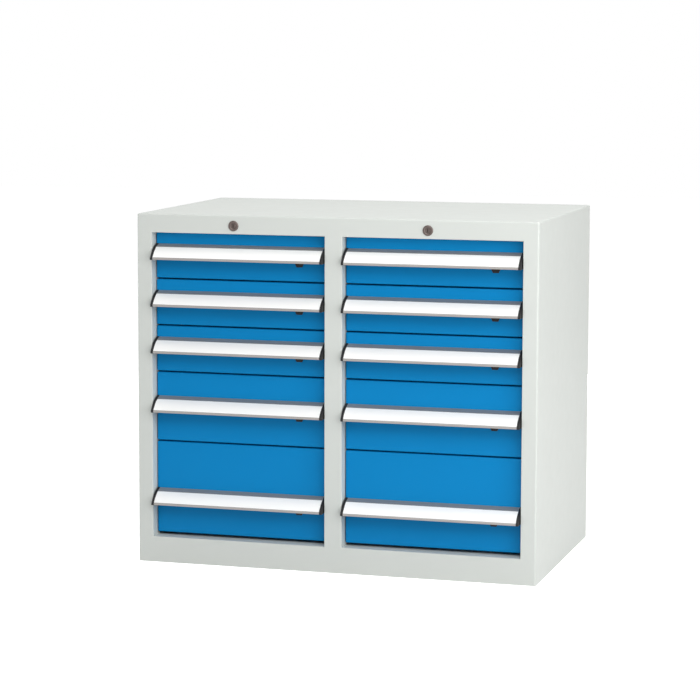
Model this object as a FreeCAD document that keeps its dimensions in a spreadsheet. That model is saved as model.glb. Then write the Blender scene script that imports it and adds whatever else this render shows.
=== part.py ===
"""Two-column tool cabinet: ten drawers in a welded sheet-steel casing.

Millimetres, +Z up, front towards -Y, origin on the floor under the middle of the whole.
Every piece is drawn with y = 0 at the face of the front frame, and its Placement then moves it.
"""
import FreeCAD, Part
import os

import Sketcher

doc = FreeCAD.newDocument("tool_cabinet")

# Driving dimensions, one line each: alias, size in mm, what it measures
SIZES = [
    ("cab_width", 870, "casing, side to side"),
    ("cab_depth", 550, "casing, frame face to back"),
    ("sheet", 1.5, "casing sheet thickness"),
    ("bend", 4, "outer radius of the casing's bends"),
    ("frame_lip", 20, "depth of the front frame's outer return"),
    ("stile_width", 33, "left and right stiles of the frame"),
    ("centre_width", 38, "centre stile of the frame"),
    ("rail_height", 40, "top rail of the frame"),
    ("base_height", 55, "bottom rail, floor to sill"),
    ("floor_gap", 5, "sill to the lowest drawer's space"),
    ("jamb_depth", 40, "return of the frame round each opening"),
    ("flange", 14, "welding flanges of the partition"),
    ("pan_flange", 25, "folded edge of the floor pan"),
    ("corner_relief", 6, "notch at the floor pan's corners"),
    ("module_small", 100, "height taken by each upper drawer"),
    ("module_medium", 150, "height taken by the fourth drawer"),
    ("module_large", 200, "height taken by the lowest drawer"),
    ("front_gap", 3, "between one drawer front and the next"),
    ("side_gap", 1.5, "drawer front to the frame's jamb"),
    ("recess", 25, "frame face to drawer face"),
    ("front_depth", 20, "hollow drawer front, face to back"),
    ("front_lip", 20, "flange behind the hollow front, welded to the tray"),
    ("drawer_sheet", 1, "drawer sheet thickness"),
    ("tray_floor", 10, "tray bottom above its space"),
    ("tray_headroom", 15, "tray rim below its space"),
    ("rear_space", 33.5, "tray back to casing back, for the lock bar"),
    ("slide_height", 44, "fixed slide channel"),
    ("slide_width", 12.5, "whole slide, fixed web to tray wall"),
    ("slide_wall", 1.5, "channel thickness"),
    ("slide_edge_gap", 0.5, "jamb line to fixed channel"),
    ("slide_rise", 38, "slide centre above the drawer's space"),
    ("slide_front_gap", 2, "drawer front to slide"),
    ("slide_rear_gap", 18, "slide end short of the tray's back"),
    ("channel_step", 3, "each flange short of the next web"),
    ("running_gap", 0.3, "play between pieces that slide"),
    ("foot_size", 24, "square stand-off that carries a slide"),
    ("foot_wall", 2, "stand-off wall"),
    ("foot_inset", 40, "stand-off from the slide's end"),
    ("handle_depth", 40, "handle, drawer face to nose"),
    ("handle_height", 32, "handle, top to lip"),
    ("handle_wall", 2, "handle wall"),
    ("handle_shelf", 12, "top of the handle, drawer face to edge"),
    ("handle_fall", 5, "how far the top slopes down"),
    ("handle_nose", 3.5, "upright edge at the bottom of the label face"),
    ("handle_bulge", 2.5, "how far the label face curves out between its edges"),
    ("handle_lip", 8, "bottom lip, turned back"),
    ("handle_flange", 12, "flange against the drawer face"),
    ("handle_low", 41.5, "handle above the edge of a low front"),
    ("handle_high", 64.5, "handle above the edge of a tall front"),
    ("cap_wall", 5.5, "end cap thickness"),
    ("cap_rim", 0.6, "how far a cap stands round the handle"),
    ("catch_inset", 60, "tab centre from the front's edge"),
    ("catch_width", 22, "tab at its top"),
    ("catch_tip", 12, "tab at its bottom"),
    ("catch_drop", 11, "tab below the handle"),
    ("catch_tab", 4, "tab thickness"),
    ("catch_bar", 8, "height of the catch bar and its neck"),
    ("catch_depth", 3, "thickness of the catch bar"),
    ("catch_rise", 4, "catch bar above the handle's bottom"),
    ("catch_tail", 12, "catch bar beyond the tab's centre"),
    ("catch_travel", 7, "how far the catch slides"),
    ("catch_play", 1, "room round the nose in the frame's slot"),
    ("lock_offset", 8, "lock to the left of its column's centre"),
    ("lock_height", 22.5, "lock centre below the top"),
    ("rosette_radius", 11, "lock face ring"),
    ("rosette_depth", 2.5, "lock face ring proud of the frame"),
    ("barrel_radius", 9.5, "lock barrel"),
    ("barrel_depth", 22, "lock barrel behind the frame's face"),
    ("nut_radius", 13, "lock nut"),
    ("nut_depth", 4, "lock nut"),
    ("plug_radius", 6, "turning plug"),
    ("plug_gap", 0.05, "running clearance of the plug and shaft"),
    ("key_length", 8, "key slot"),
    ("key_width", 2, "key slot"),
    ("key_depth", 12, "key slot"),
    ("shaft_radius", 4, "shaft from the lock to the back"),
    ("crank_radius", 11, "disc on the shaft's rear end"),
    ("crank_depth", 4, "disc on the shaft's rear end"),
    ("pin_radius", 2.5, "crank pin"),
    ("hanger_width", 30, "shaft bearing under the top"),
    ("hanger_wall", 3, "shaft bearing under the top"),
    ("hanger_inset", 45, "shaft bearing from the casing's back"),
    ("bar_width", 30, "locking bar"),
    ("bar_depth", 3, "locking bar"),
    ("bar_gap", 5, "locking bar to the casing's back"),
    ("bar_end", 8, "locking bar past its crank slot"),
    ("lock_lift", 10, "travel of the locking bar"),
    ("hook_width", 16, "hooks and strikers"),
    ("hook_wall", 2, "hooks and strikers"),
    ("hook_gap", 1.5, "hook to striker"),
    ("hook_reach", 17, "hook in front of its bar"),
    ("striker_rise", 45, "striker above the tray's bottom"),
    ("striker_reach", 14, "striker behind the tray"),
    ("guide_height", 20, "guide strap of the locking bar"),
    ("guide_wall", 2, "guide strap of the locking bar"),
]

dims = doc.addObject("Spreadsheet::Sheet", "dims")
for line, (alias, size, meaning) in enumerate(SIZES, start=1):
    dims.set(f"A{line}", meaning)
    dims.set(f"B{line}", str(size))
    dims.setAlias(f"B{line}", alias)
doc.recompute()

# Places worked out from the driving dimensions
place = doc.addObject("App::VarSet", "place")


def derive(name, formula):
    """Add one worked-out place or size."""
    place.addProperty("App::PropertyFloat", name)
    place.setExpression(name, formula)
    doc.recompute()
    return f"place.{name}"


def value(formula):
    """The number that a formula gives now."""
    return float(place.evalExpression(formula))


ROWS = ["small", "small", "small", "medium", "large"]
HANDLE_AT = {"small": "dims.handle_low", "medium": "dims.handle_high", "large": "dims.handle_high"}
SIDES = {"left": -1, "right": 1}

module_sum = " + ".join(f"dims.module_{size}" for size in ROWS)
height = derive("height", f"dims.base_height + dims.floor_gap + {module_sum} + dims.rail_height")
front_y = derive(
    "front_y",
    "(dims.handle_depth + dims.cap_rim - dims.recess - dims.cab_depth) / 2",
)
half_width = derive("half_width", "dims.cab_width / 2")
opening = derive("opening", "(dims.cab_width - dims.centre_width) / 2 - dims.stile_width")
half_open = derive("half_open", "place.opening / 2")
column_x = derive("column_x", "(dims.centre_width + place.opening) / 2")
head_z = derive("head_z", "place.height - dims.rail_height")
inner_back = derive("inner_back", "dims.cab_depth - dims.sheet")
inner_top = derive("inner_top", "place.height - dims.sheet")
front_back = derive("front_back", "dims.recess + dims.front_depth")
front_half = derive("front_half", "place.half_open - dims.side_gap")
tray_half = derive("tray_half", "place.half_open - dims.slide_edge_gap - dims.slide_width")
tray_back = derive("tray_back", "place.inner_back - dims.rear_space")
slide_start = derive("slide_start", "place.front_back + dims.slide_front_gap")
slide_end = derive("slide_end", "place.tray_back - dims.slide_rear_gap")
slide_length = derive("slide_length", "place.slide_end - place.slide_start")
face_run = derive("face_run", "dims.handle_depth - dims.handle_shelf")
face_drop = derive("face_drop", "dims.handle_height - dims.handle_fall - dims.handle_nose")
face_chord = derive("face_chord", "sqrt(place.face_run ^ 2 + place.face_drop ^ 2)")
lock_z = derive("lock_z", "place.height - dims.lock_height")
bar_front = derive("bar_front", "place.inner_back - dims.bar_gap - dims.bar_depth")
bar_back = derive("bar_back", "place.inner_back - dims.bar_gap")

# The drawers stand on each other's spaces, the first row at the top
row_z = []
top = head_z
for row, size in enumerate(ROWS, start=1):
    top = derive(f"row_{row}", f"{top} - dims.module_{size}")
    row_z.append(top)


def slab(name, across, along, up):
    """A block between two faces each way, every face a formula."""
    block = doc.addObject("Part::Box", name)
    for length, axis, (low, high) in zip(("Length", "Width", "Height"), "xyz", (across, along, up)):
        block.setExpression(length, f"({high}) - ({low})")
        block.setExpression(f"Placement.Base.{axis}", low)
    return block


def rod(name, radius, along, x, z):
    """A round bar along Y between two faces."""
    bar = doc.addObject("Part::Cylinder", name)
    bar.Placement = FreeCAD.Placement(
        FreeCAD.Vector(), FreeCAD.Rotation(FreeCAD.Vector(1, 0, 0), -90)
    )
    low, high = along
    bar.setExpression("Radius", radius)
    bar.setExpression("Height", f"({high}) - ({low})")
    bar.setExpression("Placement.Base.x", x)
    bar.setExpression("Placement.Base.y", low)
    bar.setExpression("Placement.Base.z", z)
    return bar


def extrusion(name, plane, corners, length, at, turned):
    """A straight length of one closed section, held corner by corner by formulas.

    Turned, it is swung half a turn about Z, so the section's first axis points the other way.
    """
    body = doc.addObject("PartDesign::Body", name)
    sketch = body.newObject("Sketcher::SketchObject", f"{name}_section")
    sketch.AttachmentSupport = [
        (face, "") for face in body.Origin.OriginFeatures if face.Role == plane
    ]
    sketch.MapMode = "FlatFace"
    points = [FreeCAD.Vector(value(first), value(second), 0) for first, second in corners]
    for index, point in enumerate(points):
        following = points[(index + 1) % len(points)]
        sketch.addGeometry(Part.LineSegment(point, following))
    for index in range(len(points)):
        following = (index + 1) % len(points)
        sketch.addConstraint(Sketcher.Constraint("Coincident", index, 2, following, 1))
    for index, formulas in enumerate(corners):
        for kind, on_axis, formula in zip(("DistanceX", "DistanceY"), (-2, -1), formulas):
            if formula == "0":
                sketch.addConstraint(Sketcher.Constraint("PointOnObject", index, 1, on_axis))
                continue
            held = sketch.addConstraint(
                Sketcher.Constraint(kind, -1, 1, index, 1, value(formula))
            )
            sketch.setExpression(f"Constraints[{held}]", formula)
    pad = body.newObject("PartDesign::Pad", f"{name}_pad")
    pad.Profile = sketch
    pad.setExpression("Length", length)
    body.Tip = pad
    if turned:
        body.Placement.Rotation = FreeCAD.Rotation(FreeCAD.Vector(0, 0, 1), 180)
    for axis, formula in zip("xyz", at):
        body.setExpression(f"Placement.Base.{axis}", formula)
    return body


def fused(name, pieces):
    """Pieces welded or moulded into one solid."""
    whole = doc.addObject("Part::MultiFuse", name)
    whole.Shapes = pieces
    whole.Refine = True
    return whole


def cut(name, base, tools):
    """A piece less everything in a list."""
    tool = tools[0]
    if len(tools) > 1:
        tool = fused(f"{name}_tools", tools)
    result = doc.addObject("Part::Cut", name)
    result.Base = base
    result.Tool = tool
    result.Refine = True
    return result


def group(name, pieces):
    """Separate solids that share one file."""
    together = doc.addObject("Part::Compound", name)
    together.Links = pieces
    return together


nodes = []


def subpart(name, piece, x="0", z="0"):
    """Name a finished piece and move it from where it was drawn to its place."""
    piece.Label = name
    piece.setExpression("Placement.Base.x", x)
    piece.setExpression("Placement.Base.y", front_y)
    piece.setExpression("Placement.Base.z", z)
    nodes.append(piece)


def bent_block(name, across, along, up, radius, open_y):
    """A block with bent edges, except round its floor and its open face."""
    block = slab(f"{name}_block", across, along, up)
    doc.recompute()
    flat_z = value(up[0])
    flat_y = value(open_y)
    same_place = 0.01
    bent = []
    for index, edge in enumerate(block.Shape.Edges, start=1):
        middle = edge.CenterOfMass
        on_floor = abs(middle.z - flat_z) < same_place
        on_open_face = abs(middle.y - flat_y) < same_place
        if not on_floor and not on_open_face:
            bent.append((index, value(radius), value(radius)))
    rounded = doc.addObject("Part::Fillet", name)
    rounded.Base = block
    rounded.Edges = bent
    return rounded


def skin(name, along, wall_y, open_y):
    """The casing's section as a bent sheet skin, closed at the wall face and open at the other."""
    low, high = along
    outer = bent_block(
        f"{name}_outer",
        (f"-{half_width}", half_width),
        (low, high),
        ("0", height),
        "dims.bend",
        open_y,
    )
    inner_low = f"{low} + dims.sheet" if wall_y == low else low
    inner_high = f"{high} - dims.sheet" if wall_y == high else high
    inner = bent_block(
        f"{name}_inner",
        (f"-{half_width} + dims.sheet", f"{half_width} - dims.sheet"),
        (inner_low, inner_high),
        ("0", inner_top),
        "dims.bend - dims.sheet",
        open_y,
    )
    return cut(name, outer, [inner])


# Front frame: folded stiles and rails welded and ground into one face, with a return round
# each opening. The right-hand return has a slot for each drawer's catch.
openings = []
returns = []
for side, sign in SIDES.items():
    centre = f"{sign} * {column_x}"
    openings.append(
        slab(
            f"opening_{side}",
            (f"{centre} - {half_open}", f"{centre} + {half_open}"),
            ("-dims.sheet", "dims.jamb_depth + dims.sheet"),
            ("dims.base_height", head_z),
        )
    )
    returns.append(
        slab(
            f"return_{side}",
            (f"{centre} - {half_open} - dims.sheet", f"{centre} + {half_open} + dims.sheet"),
            ("0", "dims.jamb_depth"),
            ("dims.base_height - dims.sheet", f"{head_z} + dims.sheet"),
        )
    )

catch_front = "dims.recess + dims.drawer_sheet + dims.running_gap"
catch_back = f"{catch_front} + dims.catch_depth"
slots = []
for side, sign in SIDES.items():
    edge = f"{sign} * {column_x} + {half_open}"
    for row, size in enumerate(ROWS):
        low = f"{row_z[row]} + dims.front_gap / 2 + {HANDLE_AT[size]} + dims.catch_rise"
        slots.append(
            slab(
                f"catch_slot_{side}_{row + 1}",
                (f"{edge} - dims.sheet", f"{edge} + 2 * dims.sheet"),
                (f"{catch_front} - dims.catch_play", f"{catch_back} + dims.catch_play"),
                (f"{low} - dims.catch_play", f"{low} + dims.catch_bar + dims.catch_play"),
            )
        )
lock_holes = [
    rod(
        f"lock_hole_{side}",
        "dims.barrel_radius + 2 * dims.plug_gap",
        ("-dims.sheet", "2 * dims.sheet"),
        f"{sign} * {column_x} - dims.lock_offset",
        lock_z,
    )
    for side, sign in SIDES.items()
]
frame_skin = skin("frame_skin", ("0", "dims.frame_lip"), "0", "dims.frame_lip")
frame_blank = fused("frame_blank", [frame_skin] + returns)
subpart("front_frame", cut("front_frame", frame_blank, openings + slots + lock_holes))

# Casing: sides, back and top folded and welded into one shell. Inside it carry the bearing
# of each lock shaft, under the top, and two guide straps for each locking bar, on the back.
casing_skin = skin(
    "casing_skin",
    ("dims.frame_lip", "dims.cab_depth"),
    "dims.cab_depth",
    "dims.frame_lip",
)
fittings = []
for side, sign in SIDES.items():
    lock_x = f"{sign} * {column_x} - dims.lock_offset"
    hanger_y = f"{inner_back} - dims.hanger_inset"
    hanger = slab(
        f"hanger_plate_{side}",
        (f"{lock_x} - dims.hanger_width / 2", f"{lock_x} + dims.hanger_width / 2"),
        (hanger_y, f"{hanger_y} + dims.hanger_wall"),
        (f"{lock_z} - 2 * dims.shaft_radius", inner_top),
    )
    bearing = rod(
        f"hanger_bore_{side}",
        "dims.shaft_radius + dims.plug_gap",
        (f"{hanger_y} - dims.hanger_wall", f"{hanger_y} + 2 * dims.hanger_wall"),
        lock_x,
        lock_z,
    )
    fittings.append(cut(f"hanger_{side}", hanger, [bearing]))
    for row in (1, len(ROWS)):
        guide_top = (
            f"{row_z[row - 1]} + dims.tray_floor + dims.striker_rise"
            " - 2 * dims.lock_lift - 3 * dims.hook_gap - dims.hook_wall"
        )
        slot_half = "(dims.bar_width / 2 + dims.running_gap)"
        strap = slab(
            f"guide_strap_{side}_{row}",
            (f"{lock_x} - {slot_half} - dims.guide_wall", f"{lock_x} + {slot_half} + dims.guide_wall"),
            (f"{bar_front} - dims.running_gap - dims.guide_wall", inner_back),
            (f"{guide_top} - dims.guide_height", guide_top),
        )
        channel = slab(
            f"guide_channel_{side}_{row}",
            (f"{lock_x} - {slot_half}", f"{lock_x} + {slot_half}"),
            (f"{bar_front} - dims.running_gap", inner_back),
            (f"{guide_top} - 2 * dims.guide_height", f"{guide_top} + dims.guide_height"),
        )
        fittings.append(cut(f"guide_{side}_{row}", strap, [channel]))
subpart("casing_shell", fused("casing_shell", [casing_skin] + fittings))

# Floor pan: one sheet under the sills, its four edges folded down and its corners notched
pan_x = (f"-{half_width} + dims.sheet", f"{half_width} - dims.sheet")
pan_y = ("dims.sheet", inner_back)
pan_top = "dims.base_height - dims.sheet"
pan_block = slab("pan_block", pan_x, pan_y, (f"{pan_top} - dims.sheet - dims.pan_flange", pan_top))
pan_hollow = slab(
    "pan_hollow",
    (f"{pan_x[0]} + dims.sheet", f"{pan_x[1]} - dims.sheet"),
    (f"{pan_y[0]} + dims.sheet", f"{pan_y[1]} - dims.sheet"),
    ("0", f"{pan_top} - dims.sheet"),
)


def ends(span):
    """A short stretch at each end of a span, as long as the pan's corner notch."""
    low, high = span
    return (low, f"{low} + dims.corner_relief"), (f"{high} - dims.corner_relief", high)


notches = []
for across in ends(pan_x):
    for along in ends(pan_y):
        name = f"pan_notch_{len(notches) + 1}"
        notches.append(slab(name, across, along, ("0", "dims.base_height")))
subpart("floor_pan", cut("floor_pan", pan_block, [pan_hollow] + notches))

# Centre partition: a web between the two columns with a welding flange along all four edges
web_half = "dims.sheet / 2"
web_y = ("dims.sheet", inner_back)
web_z = (pan_top, inner_top)
flange_x = (f"-{web_half}", f"{web_half} + dims.flange")
partition_pieces = [
    slab("partition_web", (f"-{web_half}", web_half), web_y, web_z),
    slab("partition_front", flange_x, (web_y[0], f"{web_y[0]} + dims.sheet"), web_z),
    slab("partition_rear", flange_x, (f"{web_y[1]} - dims.sheet", web_y[1]), web_z),
    slab("partition_foot", flange_x, web_y, (web_z[0], f"{web_z[0]} + dims.sheet")),
    slab("partition_head", flange_x, web_y, (f"{web_z[1]} - dims.sheet", web_z[1])),
]
partition_blank = fused("partition_blank", partition_pieces)
# The flanges stop short of the bends of the frame and the casing, along the top edge
bend_clear = [
    slab(
        f"partition_clear_{end}",
        (f"-{half_width} / 2", f"{half_width} / 2"),
        along,
        (f"{inner_top} - dims.bend", f"{inner_top} + dims.sheet"),
    )
    for end, along in (
        ("front", ("0", "dims.sheet + dims.bend")),
        ("rear", (f"{inner_back} - dims.bend", "dims.cab_depth")),
    )
]
subpart("centre_partition", cut("centre_partition", partition_blank, bend_clear))


# Slides: three nested channels each side of a drawer, the fixed one on two stand-offs.
# A channel is described by its web and its flanges, measured from the jamb line.
def channel(name, web, flange_edge, outer_half, side, z):
    """One channel of a slide; the web may be nearer or further than the flanges' free edge."""
    wall_half = f"({outer_half} - dims.slide_wall)"
    web_near, web_far = web
    inner_face = web_far if value(flange_edge) > value(web_far) else web_near
    outer_face = web_near if inner_face == web_far else web_far
    low = f"dims.slide_height / 2 - {outer_half}"
    low_in = f"dims.slide_height / 2 - {wall_half}"
    high_in = f"dims.slide_height / 2 + {wall_half}"
    high = f"dims.slide_height / 2 + {outer_half}"
    if outer_half == "dims.slide_height / 2":
        low = "0"
        high = "dims.slide_height"
    corners = [
        (outer_face, low),
        (flange_edge, low),
        (flange_edge, low_in),
        (inner_face, low_in),
        (inner_face, high_in),
        (flange_edge, high_in),
        (flange_edge, high),
        (outer_face, high),
    ]
    turned = side == "right"
    at = (
        half_open if turned else f"-{half_open}",
        slide_start if turned else slide_end,
        f"{z} + dims.slide_rise - dims.slide_height / 2",
    )
    return extrusion(name, "XZ_Plane", corners, slide_length, at, turned)


fixed_web = ("dims.slide_edge_gap", "dims.slide_edge_gap + dims.slide_wall")
middle_web = (
    f"{fixed_web[1]} + dims.running_gap",
    f"{fixed_web[1]} + dims.running_gap + dims.slide_wall",
)
tray_line = "dims.slide_edge_gap + dims.slide_width"
inner_web = (f"{tray_line} - dims.slide_wall", tray_line)
fixed_half = "dims.slide_height / 2"
middle_half = f"({fixed_half} - dims.slide_wall - dims.running_gap)"
inner_half = f"({middle_half} - dims.slide_wall - dims.running_gap)"
fixed_edge = f"{tray_line} - dims.slide_wall - dims.channel_step"
middle_edge = f"{tray_line} - 2 * dims.slide_wall"
inner_edge = f"{middle_web[1]} + dims.running_gap"

fixed_rails = []
for column, sign in SIDES.items():
    for row in range(len(ROWS)):
        for side, hand in SIDES.items():
            name = f"fixed_rail_{column}_{row + 1}_{side}"
            rail = channel(f"{name}_channel", fixed_web, fixed_edge, fixed_half, side, row_z[row])
            # The outer side's stand-offs reach the casing, the inner side's the partition
            reach = "dims.stile_width - dims.sheet"
            if hand != sign:
                reach = "(dims.centre_width - dims.sheet) / 2"
            web_face = f"{half_open} - dims.slide_edge_gap"
            wall_face = f"{half_open} + {reach}"
            across = (web_face, wall_face)
            if hand < 0:
                across = (f"-({wall_face})", f"-({web_face})")
            middle = f"{row_z[row]} + dims.slide_rise"
            feet = []
            for end, start in (
                ("front", f"{slide_start} + dims.foot_inset"),
                ("rear", f"{slide_end} - dims.foot_inset - dims.foot_size"),
            ):
                foot = slab(
                    f"{name}_{end}_foot",
                    across,
                    (start, f"{start} + dims.foot_size"),
                    (f"{middle} - dims.foot_size / 2", f"{middle} + dims.foot_size / 2"),
                )
                bore = slab(
                    f"{name}_{end}_foot_bore",
                    across,
                    (f"{start} + dims.foot_wall", f"{start} + dims.foot_size - dims.foot_wall"),
                    (
                        f"{middle} - dims.foot_size / 2 + dims.foot_wall",
                        f"{middle} + dims.foot_size / 2 - dims.foot_wall",
                    ),
                )
                feet.append(cut(f"{name}_{end}_stand_off", foot, [bore]))
            whole = fused(name, [rail] + feet)
            whole.setExpression("Placement.Base.x", f"{sign} * {column_x}")
            fixed_rails.append(whole)
subpart("fixed_rails", group("fixed_rails", fixed_rails))


def face_bends(outside):
    """Where the handle's label face bends, a third and two thirds down, or outside that face.

    There a shallow curve stands eight ninths as far out as it does in the middle.
    """
    out = f"(8 / 9 * dims.handle_bulge + {outside})"
    return [
        (
            f"dims.handle_shelf + {thirds} / 3 * {face_run} + {out} * {face_drop} / {face_chord}",
            f"dims.handle_nose + {3 - thirds} / 3 * {face_drop} + {out} * {face_run} / {face_chord}",
        )
        for thirds in (1, 2)
    ]


# Drawers, each from the top of its column down
for column, sign in SIDES.items():
    centre = f"{sign} * {column_x}"
    for row, size in enumerate(ROWS):
        tag = f"{column}_{row + 1}"
        module = f"dims.module_{size}"
        handle_z = f"dims.front_gap / 2 + {HANDLE_AT[size]}"
        catch_z = f"{handle_z} + dims.catch_rise"

        # Tray, striker and hollow front: bent and flat panels of sheet, spot-welded together
        rim = f"{module} - dims.tray_headroom"
        inside = f"({tray_half} - dims.drawer_sheet)"
        tray_base = ("dims.tray_floor", "dims.tray_floor + dims.drawer_sheet")
        tray_walls = (tray_base[1], rim)
        tray = [
            slab(f"tray_floor_{tag}", (f"-{tray_half}", tray_half), (front_back, tray_back), tray_base),
            slab(f"tray_left_{tag}", (f"-{tray_half}", f"-{inside}"), (front_back, tray_back), tray_walls),
            slab(f"tray_right_{tag}", (inside, tray_half), (front_back, tray_back), tray_walls),
            slab(
                f"tray_front_{tag}",
                (f"-{inside}", inside),
                (front_back, f"{front_back} + dims.drawer_sheet"),
                tray_walls,
            ),
            slab(
                f"tray_rear_{tag}",
                (f"-{inside}", inside),
                (f"{tray_back} - dims.drawer_sheet", tray_back),
                tray_walls,
            ),
        ]
        striker_z = "dims.tray_floor + dims.striker_rise"
        striker_x = (
            "-dims.lock_offset - dims.hook_width / 2",
            "-dims.lock_offset + dims.hook_width / 2",
        )
        striker_end = f"{tray_back} + dims.striker_reach"
        striker = [
            slab(
                f"striker_arm_{tag}",
                striker_x,
                (tray_back, striker_end),
                (striker_z, f"{striker_z} + dims.hook_wall"),
            ),
            slab(
                f"striker_lip_{tag}",
                striker_x,
                (f"{striker_end} - dims.hook_wall", striker_end),
                (f"{striker_z} - dims.lock_lift", striker_z),
            ),
        ]
        front_top = f"{module} - dims.front_gap / 2"
        front_blank = slab(
            f"front_blank_{tag}",
            (f"-{front_half}", front_half),
            ("dims.recess", front_back),
            ("dims.front_gap / 2", front_top),
        )
        front_hollow = slab(
            f"front_hollow_{tag}",
            (f"-{front_half} + dims.drawer_sheet", f"{front_half} - dims.drawer_sheet"),
            ("dims.recess + dims.drawer_sheet", f"{front_back} - dims.drawer_sheet"),
            ("dims.front_gap / 2 + dims.drawer_sheet", f"{front_top} - dims.drawer_sheet"),
        )
        front_window = slab(
            f"front_window_{tag}",
            (f"-{front_half} + dims.front_lip", f"{front_half} - dims.front_lip"),
            (f"{front_back} - 2 * dims.drawer_sheet", f"{front_back} + dims.drawer_sheet"),
            ("dims.front_gap / 2 + dims.front_lip", f"{front_top} - dims.front_lip"),
        )
        tab_x = f"{front_half} - dims.catch_inset"
        bar_z = (
            f"{catch_z} - dims.running_gap",
            f"{catch_z} + dims.catch_bar + dims.running_gap",
        )
        face_slot = slab(
            f"catch_window_{tag}",
            (
                f"{tab_x} - dims.catch_tip / 2 - dims.running_gap",
                f"{tab_x} + dims.catch_tip / 2 + dims.catch_travel + dims.running_gap",
            ),
            ("dims.recess - dims.drawer_sheet", "dims.recess + 2 * dims.drawer_sheet"),
            bar_z,
        )
        nose_hole = slab(
            f"catch_hole_{tag}",
            (f"{front_half} - 2 * dims.drawer_sheet", f"{front_half} + dims.drawer_sheet"),
            (f"{catch_front} - dims.running_gap", f"{catch_back} + dims.running_gap"),
            bar_z,
        )
        front_tools = [front_hollow, front_window, face_slot, nose_hole]
        front = cut(f"front_{tag}", front_blank, front_tools)
        inner_members = [
            channel(f"inner_slide_{tag}_{side}", inner_web, inner_edge, inner_half, side, "0")
            for side in SIDES
        ]
        subpart(
            f"drawer_{tag}",
            group(f"drawer_{tag}", tray + striker + [front] + inner_members),
            centre,
            row_z[row],
        )

        # Middle members run out half as far as their drawer
        middle_members = [
            channel(f"middle_channel_{tag}_{side}", middle_web, middle_edge, middle_half, side, "0")
            for side in SIDES
        ]
        subpart(
            f"slide_middle_{tag}",
            group(f"slide_middle_{tag}", middle_members),
            centre,
            row_z[row],
        )

        # Handle: an aluminium section across the whole front between two plastic end caps. Its
        # label face curves out a little, in three flats
        inner_fall = "dims.handle_wall * (1 + dims.handle_fall / dims.handle_shelf)"
        lip_edge = "dims.handle_depth - dims.handle_lip"
        inner_nose = "dims.handle_depth - dims.handle_wall"
        section = [
            ("0", "dims.handle_height"),
            ("dims.handle_shelf", "dims.handle_height - dims.handle_fall"),
            *face_bends("0"),
            ("dims.handle_depth", "dims.handle_nose"),
            ("dims.handle_depth", "0"),
            (lip_edge, "0"),
            (lip_edge, "dims.handle_wall"),
            (inner_nose, "dims.handle_wall"),
            (inner_nose, "dims.handle_nose - dims.handle_wall / 2"),
            *reversed(face_bends("-dims.handle_wall")),
            (
                "dims.handle_shelf - dims.handle_wall / 2",
                "dims.handle_height - dims.handle_fall - dims.handle_wall",
            ),
            ("dims.handle_wall", f"dims.handle_height - {inner_fall}"),
            ("dims.handle_wall", "dims.handle_height - dims.handle_flange"),
            ("0", "dims.handle_height - dims.handle_flange"),
        ]
        handle_end = f"{front_half} - dims.cap_wall"
        handle = extrusion(
            f"handle_{tag}_section",
            "YZ_Plane",
            section,
            f"2 * ({handle_end})",
            (handle_end, "dims.recess", handle_z),
            True,
        )
        subpart(f"handle_{tag}", group(f"handle_{tag}", [handle]), centre, row_z[row])
        cap_section = [
            ("0", "dims.handle_height + 2 * dims.cap_rim"),
            ("dims.handle_shelf", "dims.handle_height - dims.handle_fall + 2 * dims.cap_rim"),
            *((out, f"{up} + dims.cap_rim") for out, up in face_bends("dims.cap_rim")),
            ("dims.handle_depth + dims.cap_rim", "dims.handle_nose + dims.cap_rim"),
            ("dims.handle_depth + dims.cap_rim", "0"),
            ("0", "0"),
        ]
        caps = [
            extrusion(
                f"handle_cap_{tag}_{side}",
                "YZ_Plane",
                cap_section,
                "dims.cap_wall",
                (end, "dims.recess", f"{handle_z} - dims.cap_rim"),
                True,
            )
            for side, end in (("left", f"-({handle_end})"), ("right", front_half))
        ]
        subpart(f"handle_caps_{tag}", group(f"handle_caps_{tag}", caps), centre, row_z[row])

        # Catch: a bar behind the front, its nose in the front's edge, and a tab below the handle
        catch_pieces = [
            slab(
                f"catch_bar_{tag}",
                (f"{tab_x} - dims.catch_tail", f"{front_half} - dims.drawer_sheet / 2"),
                (catch_front, catch_back),
                (catch_z, f"{catch_z} + dims.catch_bar"),
            ),
            slab(
                f"catch_neck_{tag}",
                (f"{tab_x} - dims.catch_tip / 2", f"{tab_x} + dims.catch_tip / 2"),
                ("dims.recess - dims.running_gap", catch_front),
                (catch_z, f"{catch_z} + dims.catch_bar"),
            ),
            extrusion(
                f"catch_tab_{tag}",
                "XZ_Plane",
                [
                    ("(dims.catch_width - dims.catch_tip) / 2", "0"),
                    ("(dims.catch_width + dims.catch_tip) / 2", "0"),
                    ("dims.catch_width", "dims.catch_drop"),
                    ("dims.catch_width", "dims.catch_drop + dims.catch_rise + dims.catch_bar"),
                    ("0", "dims.catch_drop + dims.catch_rise + dims.catch_bar"),
                    ("0", "dims.catch_drop"),
                ],
                "dims.catch_tab",
                (
                    f"{tab_x} - dims.catch_width / 2",
                    "dims.recess - dims.running_gap",
                    f"{handle_z} - dims.catch_drop",
                ),
                False,
            ),
        ]
        subpart(f"catch_{tag}", fused(f"catch_{tag}", catch_pieces), centre, row_z[row])

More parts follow.
